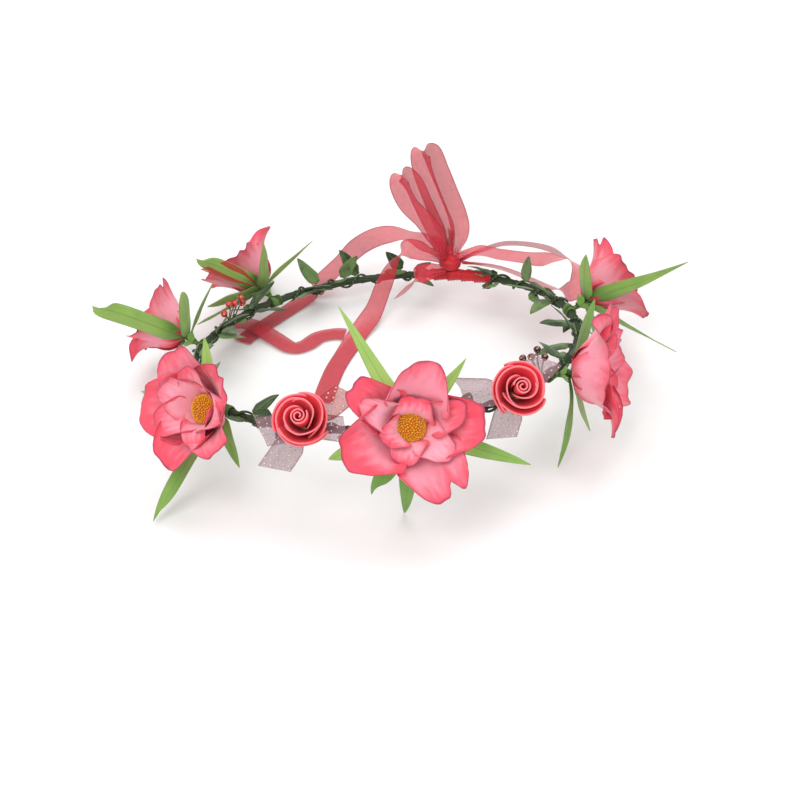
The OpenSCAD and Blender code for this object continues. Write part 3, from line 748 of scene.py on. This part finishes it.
# Strips of foam from the bud outwards: start and span round the rose, radius at both ends, height of the
# rim, flare
STRIPS = [
    (0, 820, 0.7, 4.0, 14.8, 0.0), (140, 190, 3.4, 6.6, 14.7, 0.9), (10, 190, 4.2, 7.6, 14.2, 1.2),
    (250, 180, 5.0, 8.6, 13.6, 1.5), (120, 170, 6.0, 9.4, 12.6, 1.8), (0, 165, 7.0, 10.2, 11.6, 2.0),
    (240, 160, 7.8, 10.6, 10.6, 2.1), (120, 150, 8.6, 10.9, 9.6, 2.1), (15, 150, 9.2, 11.0, 8.8, 1.9),
    (255, 150, 9.2, 11.0, 8.2, 1.9)]


def rose(name, angle, turn, lift, spin):
    """Rolled foam rose: a tight spiral bud, then strips that each start tucked in and end outside, lower
    and wider."""
    at = facing(angle, turn, lift) @ moved(z=8.1) @ turned(z=spin)
    bloom = Piece(name + "_rolled_foam")
    for k, (start, span, near, far, high, flare) in enumerate(STRIPS):
        foam_arc(bloom, at, start, span, (near, far), 0.6, high, flare, k + 1)
    bloom.make(foam, name, name + "_bloom", "rose_foam", thick=0.6)
    wrapped_stem(name, facing(angle, turn, lift), angle, 9.5)


def organza_piece(name, number, place, long, pitch, bend, wide, seed, body, paint, nodes=(),
                  slot="dotted_organza", dots=3.1):
    """A cut strip of organza, gathered at its root and slanted at its end, with slow ruffles across, and
    raised glitter dots on a lattice of rows that are set off by half a step."""
    v = np.linspace(0, 1, 30)[:, None]
    u = np.linspace(-1, 1, 21)[None, :]
    run, line_x, line_z, angle = bent_line(long, lambda s: pitch + bend * s)
    thread = long * v * (1 - 0.12 * (u + 1) * v)
    half = wide / 2 * (0.35 + 0.65 * swell(v, 0, 0.45))
    ruffle = wide * (0.07 * np.sin(5 * u + seed) * (1 - 0.5 * v) + 0.06 * waves(u * 1.5, v * 1.5, seed))
    theta = np.interp(thread, run, angle)
    points = xyz(np.interp(thread, run, line_x) - np.sin(theta) * ruffle, u * half + 0 * thread,
                 np.interp(thread, run, line_z) + np.cos(theta) * ruffle)
    points = put(place, points)
    sheet = Piece(f"{name}_organza_{number}").add(points, (u + 1) / 2, v * long)
    made = sheet.make(paint, body, nodes, slot)
    across = u * half + 0 * thread
    if not dots:
        return
    rows, columns = int(long / dots), int(wide / dots) + 1
    glitter = Piece(f"{name}_glitter_{number}")
    w = np.linspace(0, 2 * np.pi, 8, endpoint=False)
    for i in range(rows):
        for j in range(columns):
            a = int(np.clip((i + 0.7) / rows * 29, 0, 28))
            b = int(np.clip((j + 0.25 + 0.5 * (i % 2)) / columns * 20, 1, 19))
            centre = points[a, b]
            along = points[min(a + 1, 29), b] - points[a - 1, b]
            across = points[a, b + 1 if b < 20 else b] - points[a, b - 1]
            along, across = along / np.linalg.norm(along), across / np.linalg.norm(across)
            up = np.cross(along, across)
            profile = [(0.02, -0.32), (0.34, -0.22), (0.46, 0.0), (0.34, 0.22), (0.02, 0.32)]
            ring = np.cos(w)[:, None] * along + np.sin(w)[:, None] * across
            bead = np.stack([centre + up * h + r * ring for r, h in profile])
            glitter.add(bead, w / TURN, 0.5, 0.5, wrap=True)
    glitter.make(gold, body, slot=slot)


ROSES = [("rose_left", -113, 18, 40, 20), ("rose_right", -53, -22, 34, 150)]
# direction, pitch, bend, length, width
ROSE_ORGANZA = {
    "rose_left": [(275, -6, 0, 21, 14), (322, -8, 0, 25, 14), (122, 8, 0, 26, 12), (78, 4, 0, 20, 12)],
    "rose_right": [(258, 8, 0, 27, 13), (122, -4, 0, 24, 13), (330, -8, 0, 22, 13)],
}
for name, angle, turn, lift, spin in ROSES:
    rose(name, angle, turn, lift, spin)
    for k, (direction, pitch, bend, long, wide) in enumerate(ROSE_ORGANZA[name]):
        place = facing(angle, turn, lift) @ turned(z=direction) @ moved(x=1.4, z=6.8)
        organza_piece(name, k + 1, place, long, pitch, bend, wide, k + 3, name,
                      red_net if (name, k) == ("rose_left", 2) else net_cloth,
                      name + "_organza" if k == 0 else ())
organza_piece("back_left", 1, facing(127, 19, 45) @ turned(z=117) @ moved(x=COLLAR_R + 3, z=COLLAR_Z + 3),
              42, 25, 0,
              RIBBON_W, 8, "back_left", strip_cloth, "organza_strip", "organza_strip", dots=0)

# ---- Hoop, vine and berries ----


def wound_tape():
    """Tape on the hoop: a torus whose thickness steps with the helix of the laps and swells a little here
    and there."""
    piece = Piece("hoop_tape_wound")
    a = np.radians(np.linspace(KNOT_ANGLE + 1.5, KNOT_ANGLE + 358.5, 1500))[:, None]
    q = np.linspace(0, 2 * np.pi, 20, endpoint=False)[None, :]
    lap = (a * HOOP_R / 5.5 + q / TURN) % 1
    thick = TAPE_R - 0.22 + 0.30 * lap ** 2 + 0.10 * np.sin(a * 31) * np.sin(q + a * 9)
    rings = xyz((HOOP_R + thick * np.cos(q)) * np.cos(a), (HOOP_R + thick * np.cos(q)) * np.sin(a),
                thick * np.sin(q) + 0 * a)
    first_cap = rings[:1].mean(1, keepdims=True) + 0 * rings[:1]
    last_cap = rings[-1:].mean(1, keepdims=True) + 0 * rings[-1:]
    rings = np.concatenate([first_cap, rings, last_cap])
    piece.add(put(HOOP, rings), q / TURN * 12, np.linspace(0, 578, len(rings))[:, None], wrap=True, flip=True)
    piece.make(hoop_tape, "crown", "stem_tape", "stem_tape")


VINE_SPANS = [(-79, -56), (-49, -42), (-31, 7), (17, 60), (75, 122), (132, 160), (170, 213), (223, 242),
              (251, 271)]


def wound_twine():
    """Vine stem: a twine in a helix round the taped hoop, one turn in ten degrees, with a slow change in
    thickness."""
    piece = Piece("vine_stem_wound")
    for start, end in VINE_SPANS:
        count = int((end - start) * 4)
        a = np.radians(np.linspace(start, end, count))
        turn = (a - a[0]) * 36
        out = TAPE_R + 0.75
        path = xyz((HOOP_R + out * np.cos(turn)) * np.cos(a), (HOOP_R + out * np.cos(turn)) * np.sin(a),
                   out * np.sin(turn))
        ends = np.clip(np.minimum(np.arange(count), np.arange(count)[::-1]) / 4, 0.05, 1)
        thick = 0.62 * (1 + 0.15 * np.sin(turn * 1.7)) * ends
        piece.add(put(HOOP, tube(path, thick, 8)), np.linspace(0, 1, 8)[None, :],
                  np.arange(count)[:, None] * 0.4, wrap=True)
    piece.make(twine_paint, "crown", "vine_twine", "vine")


# hoop angle, direction round the hoop (0 outwards, 90 up), heading, length, bend
BACK_VINE = [(40, 80, -30, 16, 30), (52, 120, 30, 14, 40), (33, 150, 40, 15, 20), (24, 170, -30, 18, 20),
             (21, 120, 30, 16, 40), (84, 70, 30, 12, 40), (98, 80, 30, 17, 30), (103, 95, -30, 15, 30),
             (111, 75, 35, 18, 30), (113, 160, 60, 14, 20), (117, 140, -40, 16, 40),
             (138, 110, -35, 18, 30), (137, 165, -50, 16, 30), (152, 150, 45, 18, 30),
             (153, 135, -15, 16, 40), (156, 170, 20, 18, 10)]
FRONT_VINE = [(173, 130, 40, 15, 20), (182, 95, 30, 15, 30), (200, 130, -30, 14, 30), (228, 130, 40, 14, 20),
              (234, 40, 40, 12, 40), (262, 200, 30, 12, 30), (-67, 165, 30, 14, 20), (-61, 185, -40, 12, 30),
              (-26, 150, 30, 16, 30), (-14, 175, -30, 18, 20), (-7, 120, 30, 16, 30), (0, 150, -30, 18, 20)]


def vine_leaves(name, rows, nodes, seed):
    piece = Piece(name)
    for k, (angle, round_hoop, heading, long, bend) in enumerate(rows):
        place = on_hoop(angle) @ turned(y=-round_hoop) @ moved(x=TAPE_R + 1.0) @ turned(z=heading)
        leaf(piece, place, long + 0.8, 0, bend, VINE_LEAF_W, seed + k, twist=15 * (-1) ** k, point=0.6,
             steps=16)
    return piece


def clinging_leaves(seed, count=64):
    """Small leaves that lie along the hoop, wound with the vine, each pressed to it with its tip lifted."""
    piece = Piece("vine_leaves_wound")
    rng = np.random.default_rng(seed)
    spans = [s for s in VINE_SPANS if s[1] - s[0] > 8]
    for k in range(count):
        start, end = spans[k % len(spans)]
        angle = rng.uniform(start + 2, end - 2)
        way = 90 if rng.uniform() < 0.5 else -90
        foot = on_hoop(angle) @ turned(y=rng.uniform(0, 360)) @ moved(x=TAPE_R + 0.9)
        place = foot @ turned(z=way + rng.uniform(-30, 30))
        long, pitch, bend, wide = (rng.uniform(*span) for span in ((8, 12), (4, 16), (-10, 25), (3.6, 5.4)))
        leaf(piece, place, long, pitch, bend, wide, 900 + k, 20, 0.6, 12)
    return piece


def berries(name, angle, round_hoop, spread, paint, node):
    """Spray of five berries on thin wires: each wire bows a little, and each berry is a lathe profile with
    a small tip."""
    spray, stalks = Piece(name), Piece(name + "_wires")
    at = on_hoop(angle) @ turned(y=-round_hoop)
    w = np.linspace(0, 2 * np.pi, 18, endpoint=False)
    v = np.linspace(0, np.pi, 12)
    for k in range(5):
        reach = 8 + 2.5 * (k % 2)
        place = at @ turned(z=spread * (k - 2)) @ moved(x=TAPE_R + 2)
        t = np.linspace(-2.0, reach, 10)
        wire = xyz(t, 0.5 * np.sin(t * 0.4 + k), 0.4 * np.cos(t * 0.35 + k))
        stalks.add(tube(put(place, wire), 0.32, 8), np.linspace(0, 1, 8)[None, :], t[:, None], wrap=True)
        r = 1.75 * (1 + 0.06 * np.cos(3 * v))[:, None]
        ball = xyz(reach - r * np.cos(v)[:, None] + 0 * w, r * np.sin(v)[:, None] * np.cos(w),
                   r * np.sin(v)[:, None] * np.sin(w))
        spray.add(put(place, ball), w / TURN, v[:, None] / np.pi, wrap=True)
    spray.make(paint, "crown", node, "berries_bright" if "left" in name else "berries_dark")
    stalks.make(stem_tape, "crown", slot="vine")


wound_tape()
wound_twine()
vine_leaves("vine_leaves_behind", BACK_VINE, (), 500).make(vine, "crown", "vine_leaves_back", "vine",
                                                           thick=0.25)
vine_leaves("vine_leaves_ahead", FRONT_VINE, (), 600).make(vine, "crown", "vine_leaves_front", "vine",
                                                           thick=0.25)
clinging_leaves(7).make(vine, "crown", slot="vine", thick=0.25)
berries("berries_left_spray", 147, 112, 20, bright_berry, "berries_left")
berries("berries_right_spray", -41, 110, 22, dark_berry, "berries_right")

# ---- Ribbon ----

# Routes: place from the foot of the hoop's centre, and the direction that the width lies in
ROUTES = {
    "bow_loop_left": [
        (33, 83, 26, 1, 1, 0), (30, 84, 36, 1, 0, 1), (24, 83, 48, 1, 0, 1), (16, 84, 58, 1, 0, 1),
        (12, 85, 69, 1, 0, 1), (14, 87, 74, 1, 0, 1), (19, 88, 68, 1, 0, 1), (23, 88, 57, 1, 0, 1),
        (27, 88, 46, 1, 0, 1), (31, 87, 36, 1, 0, 1), (35, 86, 27, 1, 1, 0)],
    "bow_loop_right": [
        (36, 89, 26, 1, 1, 0), (35, 91, 36, 2, 0, 1), (31, 93, 48, 2, 0, 1), (27, 95, 60, 2, 0, 1),
        (24, 97, 71, 2, 0, 1), (24, 99, 79, 2, 0, 1), (29, 101, 78, 2, 0, 1), (33, 102, 66, 2, 0, 1),
        (37, 101, 54, 2, 0, 1), (41, 98, 42, 1, 0, 0), (42, 93, 33, 1, 0, 0), (39, 88, 25, 1, 1, 0)],
    "ribbon_curl_left": [
        (33, 80, 21, 0, 1, 1), (26, 75, 24, 0, 1, 1), (19, 72, 23, 1, 1, 1), (13, 71, 17, 1, 1, 0),
        (9, 73, 11, 1, 1, 0)],
    "ribbon_tail_left": [
        (33, 88, 22, 0, 1, 1), (26, 93, 28, 0, 1, 1), (15, 98, 32, 0, 1, 0), (2, 101, 31, 0, 1, 1),
        (-10, 102, 25, -1, 1, 2), (-20, 101, 16, -1, 2, 1), (-30, 98, 8, -1, 2, 1), (-38, 92, 3, 1, -1, 0),
        (-48, 83, 1, 1, -1, 0), (-58, 72, 1, 1, -1, 0), (-67, 62, 1, 1, -1, 0), (-72, 55, 1, 1, -1, 0)],
    "ribbon_tail_cross": [
        (-84, 68, 2, 1, 2, 0), (-76, 68, 4, 1, 2, 0), (-67, 66, 4, 1, 2, 0), (-56, 56, 2, 1, 1, 0),
        (-47, 47, 1, 0, 1, 0), (-40, 48, 1, -1, 1, 0), (-33, 55, 1, -1, 2, 0), (-25, 57, 1, 0, 1, 0),
        (-20, 56, 1, 0, 1, 0)],
    "ribbon_tail_inner": [
        (32, 83, 25, 0, 1, 1), (23, 80, 32, 0, 1, 1), (14, 79, 35, 1, 1, 1), (7, 77, 29, 1, 1, 0),
        (1, 73, 18, 2, 1, 0), (-5, 66, 7, 2, 1, 0), (-12, 56, 3, 2, 1, 0), (-19, 42, 1, 2, 1, 0),
        (-25, 27, 1, 3, 1, 0), (-29, 12, 1, 4, 1, 0), (-32, -2, 1, 1, 0, 0)],
    "ribbon_loop_side": [
        (41, 85, 23, 0, 1, -1), (52, 87, 27, 0, 1, -1), (64, 86, 31, 0, 1, -1), (78, 81, 32, 0, 1, -1),
        (90, 72, 32, 0, 1, -1), (98, 62, 30, 1, 1, -1), (99, 53, 26, 1, 0, 0), (94, 49, 23, 1, -1, -1),
        (85, 53, 23, 1, 2, -1), (75, 61, 24, 1, 2, -1), (63, 70, 25, 1, 2, -1), (52, 76, 25, 1, 2, -1),
        (42, 81, 24, 0, 1, -1)],
    "ribbon_tail_side": [
        (38, 84, 26, 0, 1, 0), (50, 80, 31, 0, 1, 0), (61, 75, 31, 0, 1, 0), (73, 69, 32, 0, 1, 0),
        (84, 61, 35, 0, 1, 0), (92, 55, 38, 1, 2, -1)],
}


def smooth_route(points, steps):
    """Catmull-Rom curve through rows of numbers, with that many steps between two rows."""
    p = np.asarray(points, float)
    p = np.concatenate([p[:1], p, p[-1:]])
    t = np.linspace(0, 1, steps, endpoint=False)[None, :, None]
    a, b, c, d = (p[k:len(p) - 3 + k, None] for k in range(4))
    curve = 0.5 * (2 * b + (c - a) * t + (2 * a - 5 * b + 4 * c - d) * t ** 2 + (3 * b - a - 3 * c + d)
                   * t ** 3)
    return np.concatenate([curve.reshape(-1, p.shape[1]), p[-1:]])


def ribbon_strip(name, from_knot=True, to_knot=False, held="hung"):
    """Organza ribbon along its route: its width lies across the way it runs, a slow ruffle bows it, and
    where it is gathered in the knot it narrows into pleats that are sines across its width."""
    line = smooth_route(ROUTES[name], 14)
    place, wide = line[:, :3] + [HOOP_X, HOOP_Y, 0], line[:, 3:]
    ahead = np.gradient(place, axis=0)
    ahead /= np.linalg.norm(ahead, axis=1)[:, None]
    wide = wide - (wide * ahead).sum(1)[:, None] * ahead
    wide /= np.linalg.norm(wide, axis=1)[:, None]
    up = np.cross(ahead, wide)
    run = np.append(0, np.cumsum(np.linalg.norm(np.diff(place, axis=0), axis=1)))
    total = run[-1]
    gather = np.ones(len(run))
    if from_knot:
        gather = np.minimum(gather, 0.42 + 0.58 * swell(run, 0, 16))
    if to_knot:
        gather = np.minimum(gather, 0.42 + 0.58 * swell(total - run, 0, 16))
    u = np.linspace(-1, 1, 17)[None, :]
    half = RIBBON_W / 2 * gather[:, None]
    seed = sorted(ROUTES).index(name)
    bow = 0.35 * np.sin(run / 17 + seed)[:, None] * (u ** 2 - 0.4) * gather[:, None]
    pleat = 1.3 * (1 - gather[:, None]) * np.sin(9 * u + seed) + 0.12 * waves(u, run[:, None] / 20, seed)
    points = place[:, None] + wide[:, None] * (u * half)[..., None] + up[:, None] * (bow + pleat)[..., None]
    points[..., 2] = np.maximum(points[..., 2], RIBBON_GAP)
    piece = Piece(name + "_organza").add(points, (u + 1) / 2, run[:, None])
    made = piece.make(ribbon, "crown", name, "ribbon")


def knot():
    """Knot: a ball of gathered ribbon, wider along the hoop, with pleats that swirl round it."""
    piece = Piece("bow_knot_gathered")
    v = np.linspace(0.02, np.pi - 0.02, 30)[:, None]
    q = np.linspace(0, 2 * np.pi, 60, endpoint=False)[None, :]
    pleats = 0.35 * np.sin(7 * q + 3 * np.cos(v)) * np.sin(v) + 0.25 * np.sin(3 * q - 2 * v)
    r = 5.0 + pleats
    ball = xyz(0.5 + r * np.sin(v) * np.cos(q) * 0.9, r * np.cos(v) * 1.15 + 0 * q,
               6.6 + r * np.sin(v) * np.sin(q) * 0.85)
    piece.add(put(on_hoop(KNOT_ANGLE), ball), q / TURN, v * 4, wrap=True, flip=True)
    piece.make(knot_cloth, "crown", "bow_knot", "ribbon_folded")


def throat():
    """Gathered foot of the bow, one turn of the ribbon: a pleated sleeve that rises out of the knot and
    opens towards the loops."""
    piece = Piece("bow_throat_gathered")
    v = np.linspace(0, 1, 24)[:, None]
    q = np.linspace(0, 2 * np.pi, 96, endpoint=False)[None, :]
    wide = 2.4 + 3.6 * v ** 1.3
    pleat = (0.4 + 0.9 * v) * (0.6 * np.sin(9 * q + 2 * v) + 0.4 * np.sin(5 * q - 3 * v))
    rim = 1 + 0.30 * np.sin(3 * q + 1) * v + 0.12 * np.sin(8 * q) * v
    middle = np.array([35.5 + HOOP_X, 85.6 + HOOP_Y, 24.0])
    up = v * RIBBON_W * rim
    points = xyz(middle[0] - 0.34 * up + (wide + pleat) * np.cos(q),
                 middle[1] + 0.22 * up + (wide + pleat) * 0.45 * np.sin(q),
                 middle[2] + up + 0.3 * wide * np.cos(q))
    piece.add(points, q / TURN * 4 % 1, v * RIBBON_W, wrap=True, flip=True)
    made = piece.make(throat_cloth, "crown", slot="ribbon_folded")


def binding():
    """Turns of ribbon round the hoop on both sides of the knot: a sleeve in laps, creased along its turns."""
    piece = Piece("ribbon_wound_on_hoop")
    a = np.radians(np.linspace(KNOT_ANGLE - 15, KNOT_ANGLE + 7.5, 120))[:, None]
    q = np.linspace(0, 2 * np.pi, 32, endpoint=False)[None, :]
    lap = (a * HOOP_R / 7.5 - q / TURN) % 1
    ends = np.clip(np.minimum(np.arange(120), np.arange(120)[::-1]) / 6, 0, 1)[:, None]
    thick = TAPE_R + 0.25 + (0.45 + 0.75 * lap ** 1.5 + 0.18 * np.sin(5 * lap * TURN + q)) * ends
    rings = xyz((HOOP_R + thick * np.cos(q)) * np.cos(a), (HOOP_R + thick * np.cos(q)) * np.sin(a),
                thick * np.sin(q) + 0 * a)
    piece.add(put(HOOP, rings), q / TURN * 3 % 1, a * HOOP_R, wrap=True, flip=True)
    piece.make(knot_cloth, "crown", "ribbon_binding", "ribbon_folded")


STRANDS = {
    "bow_loop_left": {"to_knot": True},
    "bow_loop_right": {"to_knot": True},
    "ribbon_curl_left": {},
    "ribbon_tail_left": {},
    "ribbon_tail_cross": {"from_knot": False, "held": "laid"},
    "ribbon_tail_inner": {},
    "ribbon_loop_side": {"to_knot": True},
    "ribbon_tail_side": {},
}
for name, ends in STRANDS.items():
    ribbon_strip(name, **ends)
knot()
throat()
binding()

# ---- Floor and light ----


def studio():
    """Plain pale floor, soft light from above and both sides, and a pale surround."""
    floor_paint = bpy.data.materials.new("floor")
    floor_paint.use_nodes = True
    shade = floor_paint.node_tree.nodes["Principled BSDF"]
    shade.inputs["Base Color"].default_value = (0.90, 0.90, 0.90, 1)
    shade.inputs["Roughness"].default_value = 0.6
    mesh = bpy.data.meshes.new("floor")
    side = 3.0
    mesh.from_pydata([(-side, -side, 0), (side, -side, 0), (side, side, 0), (-side, side, 0)], [],
                     [(0, 1, 2, 3)])
    mesh.materials.append(floor_paint)
    floor = bpy.data.objects.new("floor", mesh)
    bpy.context.scene.collection.objects.link(floor)
    for name, place, size, power in (("key", (-0.5, -0.9, 1.3), 0.9, 11),
                                     ("fill", (1.1, -0.5, 0.9), 1.0, 3.5),
                                     ("top", (0.1, 0.4, 1.6), 1.4, 10)):
        data = bpy.data.lights.new(name, "AREA")
        data.energy, data.size = power, size
        lamp = bpy.data.objects.new(name, data)
        bpy.context.scene.collection.objects.link(lamp)
        lamp.location = place
        lamp.rotation_euler = (Vector((0, 0, 0.03)) - Vector(place)).to_track_quat("-Z", "Y").to_euler()
    world = bpy.data.worlds.new("surround")
    world.use_nodes = True
    world.node_tree.nodes["Background"].inputs["Color"].default_value = (1, 1, 1, 1)
    world.node_tree.nodes["Background"].inputs["Strength"].default_value = 0.68
    bpy.context.scene.world = world
    bpy.context.scene.view_settings.view_transform = "Standard"


studio()
